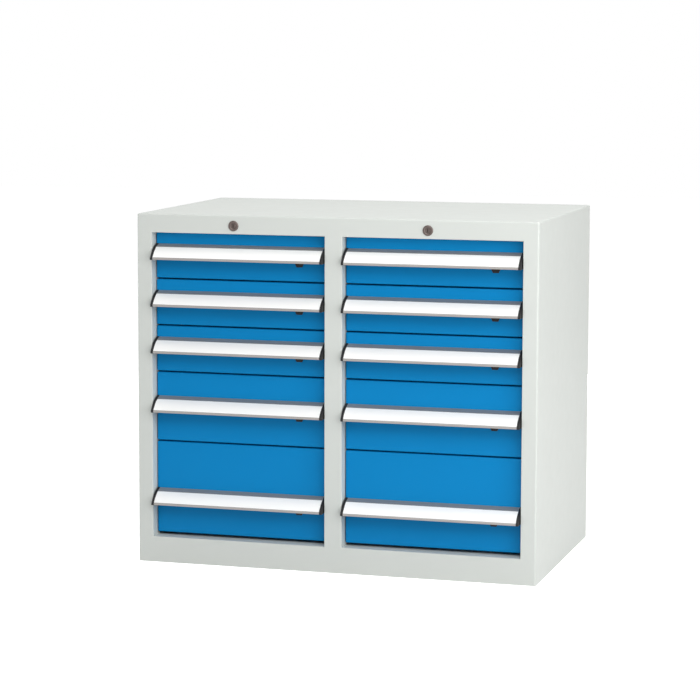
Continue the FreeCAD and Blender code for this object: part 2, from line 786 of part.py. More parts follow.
# Locks: a barrel in the top rail, and a plug whose long shaft turns a crank at the back
barrels = []
for column, sign in SIDES.items():
    lock_x = f"{sign} * {column_x} - dims.lock_offset"
    barrel_blank = fused(
        f"barrel_blank_{column}",
        [
            rod(
                f"rosette_{column}",
                "dims.rosette_radius",
                ("-dims.rosette_depth", "0"),
                "0",
                "0",
            ),
            rod(
                f"barrel_body_{column}",
                "dims.barrel_radius",
                ("0", "dims.barrel_depth"),
                "0",
                "0",
            ),
            rod(
                f"barrel_nut_{column}",
                "dims.nut_radius",
                ("dims.sheet", "dims.sheet + dims.nut_depth"),
                "0",
                "0",
            ),
        ],
    )
    barrel_bore = rod(
        f"barrel_bore_{column}",
        "dims.plug_radius + dims.plug_gap",
        ("-2 * dims.rosette_depth", "2 * dims.barrel_depth"),
        "0",
        "0",
    )
    barrel = cut(f"barrel_{column}", barrel_blank, [barrel_bore])
    barrel.setExpression("Placement.Base.x", lock_x)
    barrel.setExpression("Placement.Base.z", lock_z)
    barrels.append(barrel)

    # At rest the crank pin is at half past seven, so a quarter turn lifts it straight up
    crank_arm = "dims.lock_lift / sqrt(2)"
    pin_low = "dims.lock_lift / 2"
    crank_front = f"{bar_front} - dims.running_gap - dims.crank_depth"
    plug_blank = fused(
        f"plug_blank_{column}",
        [
            rod(
                f"plug_body_{column}",
                "dims.plug_radius",
                ("-dims.rosette_depth", "dims.barrel_depth"),
                "0",
                "0",
            ),
            rod(
                f"plug_shaft_{column}",
                "dims.shaft_radius",
                ("dims.barrel_depth", crank_front),
                "0",
                "0",
            ),
            rod(
                f"plug_crank_{column}",
                "dims.crank_radius",
                (crank_front, f"{bar_front} - dims.running_gap"),
                "0",
                "0",
            ),
            rod(
                f"plug_pin_{column}",
                "dims.pin_radius",
                (crank_front, f"{bar_back} + dims.running_gap"),
                f"-{pin_low}",
                f"-{pin_low}",
            ),
        ],
    )
    key_slot = slab(
        f"key_slot_{column}",
        ("-dims.key_width / 2", "dims.key_width / 2"),
        ("-2 * dims.rosette_depth", "dims.key_depth - dims.rosette_depth"),
        ("-dims.key_length / 2", "dims.key_length / 2"),
    )
    subpart(
        f"lock_plug_{column}",
        cut(f"lock_plug_{column}", plug_blank, [key_slot]),
        lock_x,
        lock_z,
    )

    # Locking bar: a strip hung on the crank pin, with a hook of two flats welded on for each drawer
    crank_slot = slab(
        f"crank_slot_{column}",
        (
            f"-{crank_arm} - dims.pin_radius - dims.running_gap",
            f"-{pin_low} + dims.pin_radius + dims.running_gap",
        ),
        (f"{bar_front} - dims.bar_depth", f"{bar_back} + dims.bar_depth"),
        (
            f"{lock_z} - {pin_low} - dims.pin_radius - dims.running_gap",
            f"{lock_z} - {pin_low} + dims.pin_radius + dims.running_gap",
        ),
    )
    bar_x = ("-dims.bar_width / 2", "dims.bar_width / 2")
    lowest = f"{row_z[-1]} + dims.front_gap"
    bar_blank = slab(
        f"bar_blank_{column}",
        bar_x,
        (bar_front, bar_back),
        (lowest, f"{lock_z} - {pin_low} + dims.pin_radius + dims.bar_end"),
    )
    bar_pieces = [cut(f"bar_strip_{column}", bar_blank, [crank_slot])]
    hook_x = ("-dims.hook_width / 2", "dims.hook_width / 2")
    hook_y = f"{bar_front} - dims.hook_reach"
    for row, floor in enumerate(row_z, start=1):
        striker_edge = f"{floor} + dims.tray_floor + dims.striker_rise - dims.lock_lift"
        lip_top = f"{striker_edge} - dims.hook_gap"
        arm = f"{lip_top} - dims.lock_lift - dims.hook_wall - dims.hook_gap"
        bar_pieces += [
            slab(
                f"hook_arm_{column}_{row}",
                hook_x,
                (hook_y, bar_front),
                (arm, f"{arm} + dims.hook_wall"),
            ),
            slab(
                f"hook_lip_{column}_{row}",
                hook_x,
                (hook_y, f"{hook_y} + dims.hook_wall"),
                (f"{arm} + dims.hook_wall", lip_top),
            ),
        ]
    subpart(f"lock_bar_{column}", group(f"lock_bar_{column}", bar_pieces), lock_x)
subpart("lock_barrels", group("lock_barrels", barrels))

doc.recompute()

for item in doc.Objects:
    if {"Invalid", "Error"} & set(item.State):
        raise RuntimeError(f"{item.Label} failed: {item.State}")
for piece in nodes:
    if piece.Shape.isNull() or not piece.Shape.isValid():
        raise RuntimeError(f"{piece.Label} has no sound shape")

os.makedirs("parts", exist_ok=True)
for piece in nodes:
    piece.Shape.exportStep(os.path.join("parts", f"{piece.Label}.step"))
print(f"{len(nodes)} sub-parts written")
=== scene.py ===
import math

import bmesh
import bpy
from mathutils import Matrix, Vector


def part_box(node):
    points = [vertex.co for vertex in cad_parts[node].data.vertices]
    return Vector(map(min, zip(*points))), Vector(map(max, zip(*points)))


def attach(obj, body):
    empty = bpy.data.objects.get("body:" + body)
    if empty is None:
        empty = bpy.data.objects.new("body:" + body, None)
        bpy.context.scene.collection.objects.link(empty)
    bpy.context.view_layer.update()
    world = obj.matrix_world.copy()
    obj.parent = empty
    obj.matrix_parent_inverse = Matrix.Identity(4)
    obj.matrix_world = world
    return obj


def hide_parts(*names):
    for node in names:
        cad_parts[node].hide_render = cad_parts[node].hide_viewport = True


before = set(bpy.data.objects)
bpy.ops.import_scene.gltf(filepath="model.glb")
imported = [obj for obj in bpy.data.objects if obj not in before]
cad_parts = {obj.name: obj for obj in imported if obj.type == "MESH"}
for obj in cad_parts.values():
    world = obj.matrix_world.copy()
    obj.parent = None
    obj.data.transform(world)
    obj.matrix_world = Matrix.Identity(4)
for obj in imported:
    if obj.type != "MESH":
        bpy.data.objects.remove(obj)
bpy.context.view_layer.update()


# Camera: to the right of the cabinet and a little above it, on a long lens.
# The small shift only sets the cabinet where the photograph has it in its frame.
PHOTO_SIDE = 700
FOCAL_PIXELS = 2549.2
CENTRE_PIXEL = (292.4, 310.7)
CAMERA_AT = (1.4917, -5.3291, 1.1315)
CAMERA_DOWN = math.radians(6.228)
CAMERA_TURN = math.radians(17.34)
camera_data = bpy.data.cameras.new("camera")
camera_data.lens = camera_data.sensor_width * FOCAL_PIXELS / PHOTO_SIDE
camera_data.shift_x = (PHOTO_SIDE / 2 - CENTRE_PIXEL[0]) / PHOTO_SIDE
camera_data.shift_y = (CENTRE_PIXEL[1] - PHOTO_SIDE / 2) / PHOTO_SIDE
camera = bpy.data.objects.new("camera", camera_data)
camera.location = CAMERA_AT
camera.rotation_euler = (math.radians(90) - CAMERA_DOWN, 0, CAMERA_TURN)
bpy.context.scene.collection.objects.link(camera)
bpy.context.scene.camera = camera
bpy.context.scene.view_settings.view_transform = "Standard"


# Studio: a pale floor under a white surround, and soft lamps: large ones at the right front and
# high in front, and smaller ones round the rest. Seen directly, floor and surround are white.
SURROUND_LIGHT = 0.33
FLOOR_COLOUR = (0.70, 0.70, 0.70, 1)
FLOOR_GLOW = 0.78
FLOOR_HALF = 12
LAMPS = {
    "key_lamp": {"at": (2.0, -2.05, 1.0), "size": 2.4, "power": 42},
    "front_lamp": {"at": (0.5, -2.9, 3.0), "size": 2.6, "power": 58},
    "side_lamp": {"at": (3.0, -0.9, 1.3), "size": 1.8, "power": 19},
    "top_lamp": {"at": (0.3, 0.5, 3.2), "size": 2.2, "power": 34},
    "left_lamp": {"at": (-3.1, 0.3, 0.8), "size": 1.4, "power": 40},
    "back_lamp": {"at": (-0.1, 3.0, 0.4), "size": 0.7, "power": 45},
}
LAMP_TARGET = Vector((0, 0, 0.38))


def seen_directly(tree):
    """A mask that is 1 for rays from the camera, and for those that a gloss or glass sends on."""
    rays = tree.nodes.new("ShaderNodeLightPath")
    first = tree.nodes.new("ShaderNodeMath")
    first.operation = "MAXIMUM"
    tree.links.new(rays.outputs["Is Camera Ray"], first.inputs[0])
    tree.links.new(rays.outputs["Is Glossy Ray"], first.inputs[1])
    both = tree.nodes.new("ShaderNodeMath")
    both.operation = "MAXIMUM"
    tree.links.new(first.outputs["Value"], both.inputs[0])
    tree.links.new(rays.outputs["Is Transmission Ray"], both.inputs[1])
    return both.outputs["Value"]


world = bpy.data.worlds.new("surround")
world.use_nodes = True
bpy.context.scene.world = world
surround = world.node_tree.nodes["Background"]
surround.inputs["Color"].default_value = (1, 1, 1, 1)
surround_level = world.node_tree.nodes.new("ShaderNodeMix")
surround_level.inputs["A"].default_value = SURROUND_LIGHT
surround_level.inputs["B"].default_value = 1
world.node_tree.links.new(seen_directly(world.node_tree), surround_level.inputs["Factor"])
world.node_tree.links.new(surround_level.outputs["Result"], surround.inputs["Strength"])

floor_paint = bpy.data.materials.new("floor_paint")
floor_paint.use_nodes = True
floor_nodes = floor_paint.node_tree.nodes
floor_links = floor_paint.node_tree.links
floor_nodes.remove(floor_nodes["Principled BSDF"])
matt = floor_nodes.new("ShaderNodeBsdfDiffuse")
matt.inputs["Color"].default_value = FLOOR_COLOUR
glow = floor_nodes.new("ShaderNodeEmission")
glow_level = floor_nodes.new("ShaderNodeMath")
glow_level.operation = "MULTIPLY"
glow_level.inputs[1].default_value = FLOOR_GLOW
floor_links.new(seen_directly(floor_paint.node_tree), glow_level.inputs[0])
floor_links.new(glow_level.outputs["Value"], glow.inputs["Strength"])
both_lights = floor_nodes.new("ShaderNodeAddShader")
floor_links.new(matt.outputs["BSDF"], both_lights.inputs[0])
floor_links.new(glow.outputs["Emission"], both_lights.inputs[1])
floor_links.new(both_lights.outputs["Shader"], floor_nodes["Material Output"].inputs["Surface"])

floor_mesh = bpy.data.meshes.new("floor")
floor_corners = [
    (x * FLOOR_HALF, y * FLOOR_HALF, 0) for x, y in ((-1, -1), (1, -1), (1, 1), (-1, 1))
]
floor_mesh.from_pydata(floor_corners, [], [(0, 1, 2, 3)])
floor_mesh.materials.append(floor_paint)
floor = bpy.data.objects.new("floor", floor_mesh)
bpy.context.scene.collection.objects.link(floor)

for lamp_name, lamp in LAMPS.items():
    lamp_data = bpy.data.lights.new(lamp_name, "AREA")
    lamp_data.size = lamp["size"]
    lamp_data.energy = lamp["power"]
    lamp_object = bpy.data.objects.new(lamp_name, lamp_data)
    lamp_object.location = lamp["at"]
    aim = LAMP_TARGET - lamp_object.location
    lamp_object.rotation_euler = aim.to_track_quat("-Z", "Y").to_euler()
    lamp_object.visible_camera = False
    bpy.context.scene.collection.objects.link(lamp_object)


# Casing: sides, top and the flanges of the back, folded from 1.5 mm sheet, welded and ground,
# and powder-coated light grey. Spot welds for the back panel leave shallow dishes in the flanges.
mm = 0.001
SHEET = 1.5 * mm
BEND = 4 * mm
BEND_STEPS = 4
BACK_FLANGE = 20 * mm
WELD_RADIUS = 3 * mm
WELD_DEPTH = 0.35 * mm
WELD_STEPS = 16
WELD_PITCH = 75 * mm
GREY = (0.605, 0.63, 0.60, 1)
MOTTLE_TONE = (0.55, 0.56, 0.57, 1)
NOISE_SPAN = (0.3, 0.7)
GLOSS_DRIFT = 0.04
FACING = 0.99
SHARP_FROM = math.radians(40)
SAME_POINT = 0.001 * mm
casing_low, casing_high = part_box("casing_shell")


def coat_texture():
    """Node group of a baked powder coat: fine dimples, and slow changes of tone and gloss."""
    group = bpy.data.node_groups.new("coat_texture", "ShaderNodeTree")
    for name, kind in (("Colour", "Color"), ("Mottle", "Float"), ("Roughness", "Float")):
        group.interface.new_socket(name, in_out="INPUT", socket_type=f"NodeSocket{kind}")
    for name, kind in (("Colour", "Color"), ("Roughness", "Float"), ("Height", "Float")):
        group.interface.new_socket(name, in_out="OUTPUT", socket_type=f"NodeSocket{kind}")
    nodes, links = group.nodes, group.links
    inputs = nodes.new("NodeGroupInput")
    outputs = nodes.new("NodeGroupOutput")
    where = nodes.new("ShaderNodeTexCoord")
    dimples, cloud, drift = (nodes.new("ShaderNodeTexNoise") for _ in range(3))
    for noise, scale, detail in ((dimples, 520, 2), (cloud, 7, 3), (drift, 42, 2)):
        noise.inputs["Scale"].default_value = scale
        noise.inputs["Detail"].default_value = detail
        links.new(where.outputs["Object"], noise.inputs["Vector"])
    amount = nodes.new("ShaderNodeMath")
    amount.operation = "MULTIPLY"
    links.new(cloud.outputs["Fac"], amount.inputs[0])
    links.new(inputs.outputs["Mottle"], amount.inputs[1])
    tone = nodes.new("ShaderNodeMix")
    tone.data_type = "RGBA"
    tone.blend_type = "MULTIPLY"
    tone.inputs["B"].default_value = MOTTLE_TONE
    links.new(amount.outputs["Value"], tone.inputs["Factor"])
    links.new(inputs.outputs["Colour"], tone.inputs["A"])
    gloss = nodes.new("ShaderNodeMapRange")
    gloss.inputs["From Min"].default_value = NOISE_SPAN[0]
    gloss.inputs["From Max"].default_value = NOISE_SPAN[1]
    gloss.inputs["To Min"].default_value = -GLOSS_DRIFT
    gloss.inputs["To Max"].default_value = GLOSS_DRIFT
    links.new(drift.outputs["Fac"], gloss.inputs["Value"])
    roughness = nodes.new("ShaderNodeMath")
    links.new(inputs.outputs["Roughness"], roughness.inputs[0])
    links.new(gloss.outputs["Result"], roughness.inputs[1])
    links.new(tone.outputs["Result"], outputs.inputs["Colour"])
    links.new(roughness.outputs["Value"], outputs.inputs["Roughness"])
    links.new(dimples.outputs["Fac"], outputs.inputs["Height"])
    return group


powder_coat = coat_texture()


def finish_from(texture, name, settings, bump_depth, bump_strength):
    """A material whose colour, roughness and bump come from one of the texture groups."""
    material = bpy.data.materials.new(name)
    material.use_nodes = True
    nodes, links = material.node_tree.nodes, material.node_tree.links
    shader = nodes["Principled BSDF"]
    pattern = nodes.new("ShaderNodeGroup")
    pattern.node_tree = texture
    for socket, value in settings.items():
        pattern.inputs[socket].default_value = value
    bump = nodes.new("ShaderNodeBump")
    bump.inputs["Distance"].default_value = bump_depth
    bump.inputs["Strength"].default_value = bump_strength
    links.new(pattern.outputs["Colour"], shader.inputs["Base Color"])
    links.new(pattern.outputs["Roughness"], shader.inputs["Roughness"])
    links.new(pattern.outputs["Height"], bump.inputs["Height"])
    links.new(bump.outputs["Normal"], shader.inputs["Normal"])
    return material, shader


grey_coat, grey_shader = finish_from(
    powder_coat, "grey_coat", {"Colour": GREY, "Mottle": 0.06, "Roughness": 0.48},
    bump_depth=0.05 * mm, bump_strength=0.35,
)
grey_shader.inputs["Specular IOR Level"].default_value = 0.35

SIDES_OF_BOX = {
    "left": Vector((-1, 0, 0)),
    "right": Vector((1, 0, 0)),
    "front": Vector((0, -1, 0)),
    "back": Vector((0, 1, 0)),
    "bottom": Vector((0, 0, -1)),
    "top": Vector((0, 0, 1)),
}


def sides(built, names):
    """The faces of a built mesh that look the ways named."""
    facing = [SIDES_OF_BOX[name] for name in names]
    return [face for face in built.faces if any(face.normal.dot(way) > FACING for way in facing)]


def add_box(built, low, high, left_off=()):
    """Add a box of bare faces to a mesh, without the sides left off."""
    box = bmesh.new()
    bmesh.ops.create_cube(box, size=1)
    for corner in box.verts:
        corner.co = [(high if along > 0 else low)[axis] for axis, along in enumerate(corner.co)]
    box.normal_update()
    bmesh.ops.delete(box, geom=sides(box, left_off), context="FACES")
    part = bpy.data.meshes.new("part")
    box.to_mesh(part)
    box.free()
    built.from_mesh(part)
    bpy.data.meshes.remove(part)
    built.normal_update()


def folds(built, least=30):
    """The edges where two faces of a mesh meet at more than so many degrees."""
    return [
        edge for edge in built.edges
        if len(edge.link_faces) == 2 and edge.calc_face_angle() > math.radians(least)
    ]


def round_edges(built, edges, radius, steps=2):
    """Round edges of a mesh to a radius."""
    bmesh.ops.bevel(
        built, geom=edges, offset=radius, offset_type="OFFSET", segments=steps, profile=0.5,
        affect="EDGES", clamp_overlap=True,
    )
    built.normal_update()


def shaped(built, name, sheet=0, cutters=None):
    """Turn a built mesh into a finished one: given its sheet thickness, cut and shaded."""
    mesh = bpy.data.meshes.new(name)
    built.to_mesh(mesh)
    built.free()
    blank = bpy.data.objects.new(name, mesh)
    bpy.context.scene.collection.objects.link(blank)
    if sheet:
        thickness = blank.modifiers.new("sheet", "SOLIDIFY")
        thickness.thickness = sheet
        thickness.offset = -1
        thickness.use_even_offset = True
    if cutters:
        tool_mesh = bpy.data.meshes.new("tool")
        cutters.to_mesh(tool_mesh)
        cutters.free()
        tool = bpy.data.objects.new("tool", tool_mesh)
        bpy.context.scene.collection.objects.link(tool)
        cutting = blank.modifiers.new("cut", "BOOLEAN")
        cutting.operation = "DIFFERENCE"
        cutting.solver = "EXACT"
        cutting.object = tool
    bpy.context.view_layer.update()
    evaluated = blank.evaluated_get(bpy.context.evaluated_depsgraph_get())
    finished = bpy.data.meshes.new_from_object(evaluated)
    finished.name = f"{name}_mesh"
    finished.shade_smooth()
    finished.set_sharp_from_angle(angle=SHARP_FROM)
    bpy.data.objects.remove(blank)
    if cutters:
        bpy.data.objects.remove(tool)
    return finished


def set_piece(mesh, name, finish, body, stands_for, at=(0, 0, 0)):
    """Set a piece with this mesh in its place, on the body that it moves with."""
    piece = bpy.data.objects.new(name, mesh)
    piece.location = at
    bpy.context.scene.collection.objects.link(piece)
    if not mesh.materials:
        mesh.materials.append(finish)
    flat_faces = piece.modifiers.new("flat_faces", "WEIGHTED_NORMAL")
    flat_faces.keep_sharp = True
    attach(piece, body)
    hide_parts(*stands_for)
    return piece


def open_window(built, side, flange):
    """Leave a flange along the edges of a box's side, and take the middle of it away."""
    whole = sides(built, [side])
    middle = whole[0].calc_center_median()
    bmesh.ops.inset_individual(built, faces=whole, thickness=flange, use_even_offset=True)
    inside = min(sides(built, [side]), key=lambda one: (one.calc_center_median() - middle).length)
    bmesh.ops.delete(built, geom=[inside], context="FACES")


def add_turned(built, outline, centre, way, steps):
    """Add a round part to a mesh: an outline of radius and depth, swung about a line that way."""
    centre, way = Vector(centre), Vector(way)
    points = [
        built.verts.new(centre + Vector((0, 0, radius)) + way * depth) for radius, depth in outline
    ]
    lines = [built.edges.new(pair) for pair in zip(points, points[1:])]
    bmesh.ops.spin(
        built, geom=points + lines, cent=centre, axis=way, angle=math.tau, steps=steps,
        use_merge=True, use_duplicate=False,
    )
    bmesh.ops.remove_doubles(built, verts=built.verts, dist=SAME_POINT)
    bmesh.ops.recalc_face_normals(built, faces=built.faces)
    built.normal_update()


def evenly(low, high, pitch):
    """Places along a length, as near to a pitch as comes out even."""
    count = round((high - low) / pitch)
    return [low + (high - low) * step / count for step in range(count + 1)]


weld_dish = [
    (0, -WELD_DEPTH), (WELD_RADIUS * 0.5, -WELD_DEPTH * 0.75), (WELD_RADIUS, 0),
    (WELD_RADIUS, WELD_DEPTH), (0, WELD_DEPTH),
]
weld_line = BACK_FLANGE / 2
weld_places = []
for z in evenly(casing_low.z + weld_line, casing_high.z - weld_line, WELD_PITCH):
    weld_places += [(casing_low.x + weld_line, z), (casing_high.x - weld_line, z)]
for x in evenly(casing_low.x + weld_line, casing_high.x - weld_line, WELD_PITCH)[1:-1]:
    weld_places += [(x, casing_low.z + weld_line), (x, casing_high.z - weld_line)]
welds = bmesh.new()
for x, z in weld_places:
    add_turned(welds, weld_dish, (x, casing_high.y, z), (0, 1, 0), WELD_STEPS)

casing = bmesh.new()
add_box(casing, casing_low, casing_high, left_off=("front", "bottom"))
open_window(casing, "back", BACK_FLANGE)
round_edges(casing, folds(casing, least=60), BEND, BEND_STEPS)
set_piece(
    shaped(casing, "casing", SHEET, welds), "casing", grey_coat, "cabinet",
    ["casing_shell"],
)


# Back panel: one flat sheet that fills the opening between the casing's back flanges. Its
# edges are stepped in behind them and spot-welded there. Coated with the casing.
PANEL_PLAY = 0.2 * mm
PANEL_INSET = 0.5 * mm
PANEL_EDGE = 0.3 * mm
back_inside = casing_high.y - SHEET

panel = bmesh.new()
add_box(
    panel,
    (casing_low.x + BACK_FLANGE + PANEL_PLAY, back_inside, casing_low.z + BACK_FLANGE + PANEL_PLAY),
    (
        casing_high.x - BACK_FLANGE - PANEL_PLAY, casing_high.y - PANEL_INSET,
        casing_high.z - BACK_FLANGE - PANEL_PLAY,
    ),
)
round_edges(panel, folds(panel), PANEL_EDGE)
set_piece(
    shaped(panel, "back_panel"), "back_panel", grey_coat, "cabinet",
    ["casing_shell"],
)


# Lock fittings inside the casing: a bearing plate under the top for each lock's shaft, and two
# guide straps on the back for each locking bar. All are steel strip, welded on and coated with it.
HANGER_HALF = 15 * mm
HANGER_WALL = 3 * mm
HANGER_FROM_BACK = 45 * mm
FITTING_EDGE = 0.4 * mm
SHAFT_RADIUS = 4 * mm
TURNING_GAP = 0.05 * mm
BORE_RADIUS = SHAFT_RADIUS + TURNING_GAP
GUIDE_WALL = 2 * mm
GUIDE_HEIGHT = 20 * mm
GUIDE_ABOVE_FRONT = 27 * mm
BAR_DEPTH = 3 * mm
RUNNING_GAP = 0.3 * mm
ROWS = 5
locks = {}
for side in ("left", "right"):
    bar_low, bar_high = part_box(f"lock_bar_{side}")
    plug_low, plug_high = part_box(f"lock_plug_{side}")
    locks[side] = {
        "x": (bar_low.x + bar_high.x) / 2,
        "z": (plug_low.z + plug_high.z) / 2,
        "bar_front": bar_high.y - BAR_DEPTH,
        "bar_back": bar_high.y,
    }


def add_prism(built, outline, along, start, end):
    """Add a straight length of one section, drawn in the two other axes, to a mesh."""
    axis = "xyz".index(along)

    def corner(point, place):
        where = list(point)
        where.insert(axis, place)
        return built.verts.new(where)

    near = [corner(point, start) for point in outline]
    far = [corner(point, end) for point in outline]
    built.faces.new(near)
    built.faces.new(far)
    for index in range(len(outline)):
        after = (index + 1) % len(outline)
        built.faces.new((near[index], near[after], far[after], far[index]))
    bmesh.ops.recalc_face_normals(built, faces=built.faces)
    built.normal_update()


for side, lock in locks.items():
    hanger_y = back_inside - HANGER_FROM_BACK
    hanger = bmesh.new()
    add_box(
        hanger,
        (lock["x"] - HANGER_HALF, hanger_y, lock["z"] - 2 * SHAFT_RADIUS),
        (lock["x"] + HANGER_HALF, hanger_y + HANGER_WALL, casing_high.z - SHEET),
    )
    round_edges(hanger, folds(hanger), FITTING_EDGE)
    bore = bmesh.new()
    bore_outline = [
        (0, -HANGER_WALL), (BORE_RADIUS, -HANGER_WALL),
        (BORE_RADIUS, 2 * HANGER_WALL), (0, 2 * HANGER_WALL),
    ]
    add_turned(bore, bore_outline, (lock["x"], hanger_y, lock["z"]), (0, 1, 0), steps=32)
    set_piece(
        shaped(hanger, f"shaft_bearing_{side}", cutters=bore), f"shaft_bearing_{side}", grey_coat,
        "cabinet", ["casing_shell"],
    )
    inner = HANGER_HALF + RUNNING_GAP
    outer = inner + GUIDE_WALL
    near_y = lock["bar_front"] - RUNNING_GAP
    strap = [
        (lock["x"] - outer, back_inside), (lock["x"] - outer, near_y - GUIDE_WALL),
        (lock["x"] + outer, near_y - GUIDE_WALL), (lock["x"] + outer, back_inside),
        (lock["x"] + inner, back_inside), (lock["x"] + inner, near_y),
        (lock["x"] - inner, near_y), (lock["x"] - inner, back_inside),
    ]
    guides = bmesh.new()
    for row in (1, ROWS):
        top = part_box(f"drawer_{side}_{row}")[0].z + GUIDE_ABOVE_FRONT
        add_prism(guides, strap, "z", top - GUIDE_HEIGHT, top)
    round_edges(guides, folds(guides), FITTING_EDGE)
    set_piece(
        shaped(guides, f"bar_guides_{side}"), f"bar_guides_{side}", grey_coat,
        "cabinet", ["casing_shell"],
    )


# Front frame: stiles and rails folded from the same sheet, with a return round each opening
# and a slot in its right-hand return for each drawer's catch. Welded, ground and coated.
STILE = 33 * mm
CENTRE_STILE = 38 * mm
TOP_RAIL = 40 * mm
BASE = 55 * mm
OUTER_RETURN = 20 * mm
JAMB_DEPTH = 40 * mm
JAMB_BEND = 1.6 * mm
JAMB_STEPS = 3
SAME_PLACE = 0.01 * mm
CATCH_BAR = 8 * mm
CATCH_DEPTH = 3 * mm
CATCH_PLAY = 1 * mm
LOCK_HOLE = 9.6 * mm
frame_low, frame_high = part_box("front_frame")
stile_lines = [
    frame_low.x, frame_low.x + STILE, -CENTRE_STILE / 2,
    CENTRE_STILE / 2, frame_high.x - STILE, frame_high.x,
]
rail_lines = [frame_low.z, BASE, frame_high.z - TOP_RAIL, frame_high.z]

face = bmesh.new()
face_grid = {
    (column, row): face.verts.new((x, frame_low.y, z))
    for column, x in enumerate(stile_lines)
    for row, z in enumerate(rail_lines)
}
for column in range(len(stile_lines) - 1):
    for row in range(len(rail_lines) - 1):
        if row == 1 and column in (1, 3):
            continue
        face.faces.new([
            face_grid[column, row], face_grid[column + 1, row],
            face_grid[column + 1, row + 1], face_grid[column, row + 1],
        ])
face.normal_update()
rims = {"outer": [], "opening": []}
for edge in face.edges:
    middle = (edge.verts[0].co + edge.verts[1].co) / 2
    on_outline = abs(middle.x) > frame_high.x - mm or middle.z > frame_high.z - mm
    if len(edge.link_faces) == 1 and middle.z > frame_low.z + mm:
        rims["outer" if on_outline else "opening"].append(edge)
for rim, depth in (("outer", OUTER_RETURN), ("opening", JAMB_DEPTH)):
    pulled = bmesh.ops.extrude_edge_only(face, edges=rims[rim])["geom"]
    for item in pulled:
        if isinstance(item, bmesh.types.BMVert):
            item.co.y += depth
bmesh.ops.recalc_face_normals(face, faces=face.faces)
if min(face.faces, key=lambda one: one.calc_center_median().y).normal.y > 0:
    bmesh.ops.reverse_faces(face, faces=face.faces)
face.normal_update()


def on_face(edge):
    """True where an edge lies in the frame's face."""
    return all(abs(vertex.co.y - frame_low.y) < SAME_PLACE for vertex in edge.verts)


round_edges(
    face,
    [
        edge for edge in folds(face, least=60)
        if abs(edge.verts[0].co.x) > frame_high.x - mm or edge.verts[0].co.z > frame_high.z - mm
    ],
    BEND, BEND_STEPS,
)
round_edges(
    face, [edge for edge in folds(face, least=60) if on_face(edge)], JAMB_BEND, JAMB_STEPS
)

holes = bmesh.new()
for side, jamb_x in (("left", -CENTRE_STILE / 2), ("right", frame_high.x - STILE)):
    for row in range(1, ROWS + 1):
        catch_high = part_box(f"catch_{side}_{row}")[1]
        add_box(
            holes,
            (
                jamb_x - SHEET, catch_high.y - CATCH_DEPTH - CATCH_PLAY,
                catch_high.z - CATCH_BAR - CATCH_PLAY,
            ),
            (jamb_x + 2 * SHEET, catch_high.y + CATCH_PLAY, catch_high.z + CATCH_PLAY),
        )
    hole_outline = [(0, -SHEET), (LOCK_HOLE, -SHEET), (LOCK_HOLE, 2 * SHEET), (0, 2 * SHEET)]
    lock_centre = (locks[side]["x"], frame_low.y, locks[side]["z"])
    add_turned(holes, hole_outline, lock_centre, (0, 1, 0), steps=48)
set_piece(
    shaped(face, "front_frame_face", SHEET, holes), "front_frame_face", grey_coat,
    "cabinet", ["front_frame"],
)


# Floor pan and centre partition: sheet with folded edges, welded into the casing and coated with
# it. Both are closed in behind the drawers, so the CAD solids stand for them as they are.
for node in ("floor_pan", "centre_partition"):
    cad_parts[node].data.materials.clear()
    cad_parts[node].data.materials.append(grey_coat)


# Drawer fronts: a hollow panel folded from 1 mm sheet, its edges turned back and in again,
# with a window for the catch. Bright blue coat, a little glossier than the casing's.
BLUE = (0.0004, 0.215, 0.515, 1)
DRAWER_SHEET = 1 * mm
FRONT_DEPTH = 20 * mm
FRONT_BEND = 2.4 * mm
FRONT_STEPS = 3
REAR_LIP = 20 * mm
FRONT_GAP = 3 * mm
CATCH_INSET = 60 * mm
CATCH_TIP = 6 * mm
CATCH_RISE = 4 * mm
CATCH_TRAVEL = 7 * mm
blue_coat, blue_shader = finish_from(
    powder_coat, "blue_coat", {"Colour": BLUE, "Mottle": 0.10, "Roughness": 0.40},
    bump_depth=0.05 * mm, bump_strength=0.3,
)
blue_shader.inputs["Specular IOR Level"].default_value = 0.12

drawers = {}
for side in ("left", "right"):
    for row in range(1, ROWS + 1):
        low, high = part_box(f"drawer_{side}_{row}")
        drawers[f"{side}_{row}"] = {
            "at": ((low.x + high.x) / 2, 0, low.z - FRONT_GAP / 2),
            "handle": ((low.x + high.x) / 2, 0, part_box(f"handle_{side}_{row}")[0].z),
            "module": round((high.z - low.z + FRONT_GAP) / mm) * mm,
        }
front_half = (high.x - low.x) / 2
front_y = low.y
front_back = front_y + FRONT_DEPTH
catch_x = front_half - CATCH_INSET
catch_front = front_y + DRAWER_SHEET + RUNNING_GAP


def hollow_front(module, handle_rise):
    """The mesh of a drawer front of this height, with its handle so far above its space."""
    built = bmesh.new()
    low = (-front_half, front_y, FRONT_GAP / 2)
    high = (front_half, front_back, module - FRONT_GAP / 2)
    add_box(built, low, high)
    open_window(built, "back", REAR_LIP)
    round_edges(built, folds(built, least=60), FRONT_BEND, FRONT_STEPS)
    bar_low = handle_rise + CATCH_RISE - RUNNING_GAP
    bar_high = handle_rise + CATCH_RISE + CATCH_BAR + RUNNING_GAP
    holes = bmesh.new()
    add_box(
        holes,
        (catch_x - CATCH_TIP - RUNNING_GAP, front_y - DRAWER_SHEET, bar_low),
        (catch_x + CATCH_TIP + CATCH_TRAVEL + RUNNING_GAP, front_y + 2 * DRAWER_SHEET, bar_high),
    )
    add_box(
        holes,
        (front_half - 2 * DRAWER_SHEET, catch_front - RUNNING_GAP, bar_low),
        (front_half + DRAWER_SHEET, catch_front + CATCH_DEPTH + RUNNING_GAP, bar_high),
    )
    return shaped(built, "drawer_front", DRAWER_SHEET, holes)


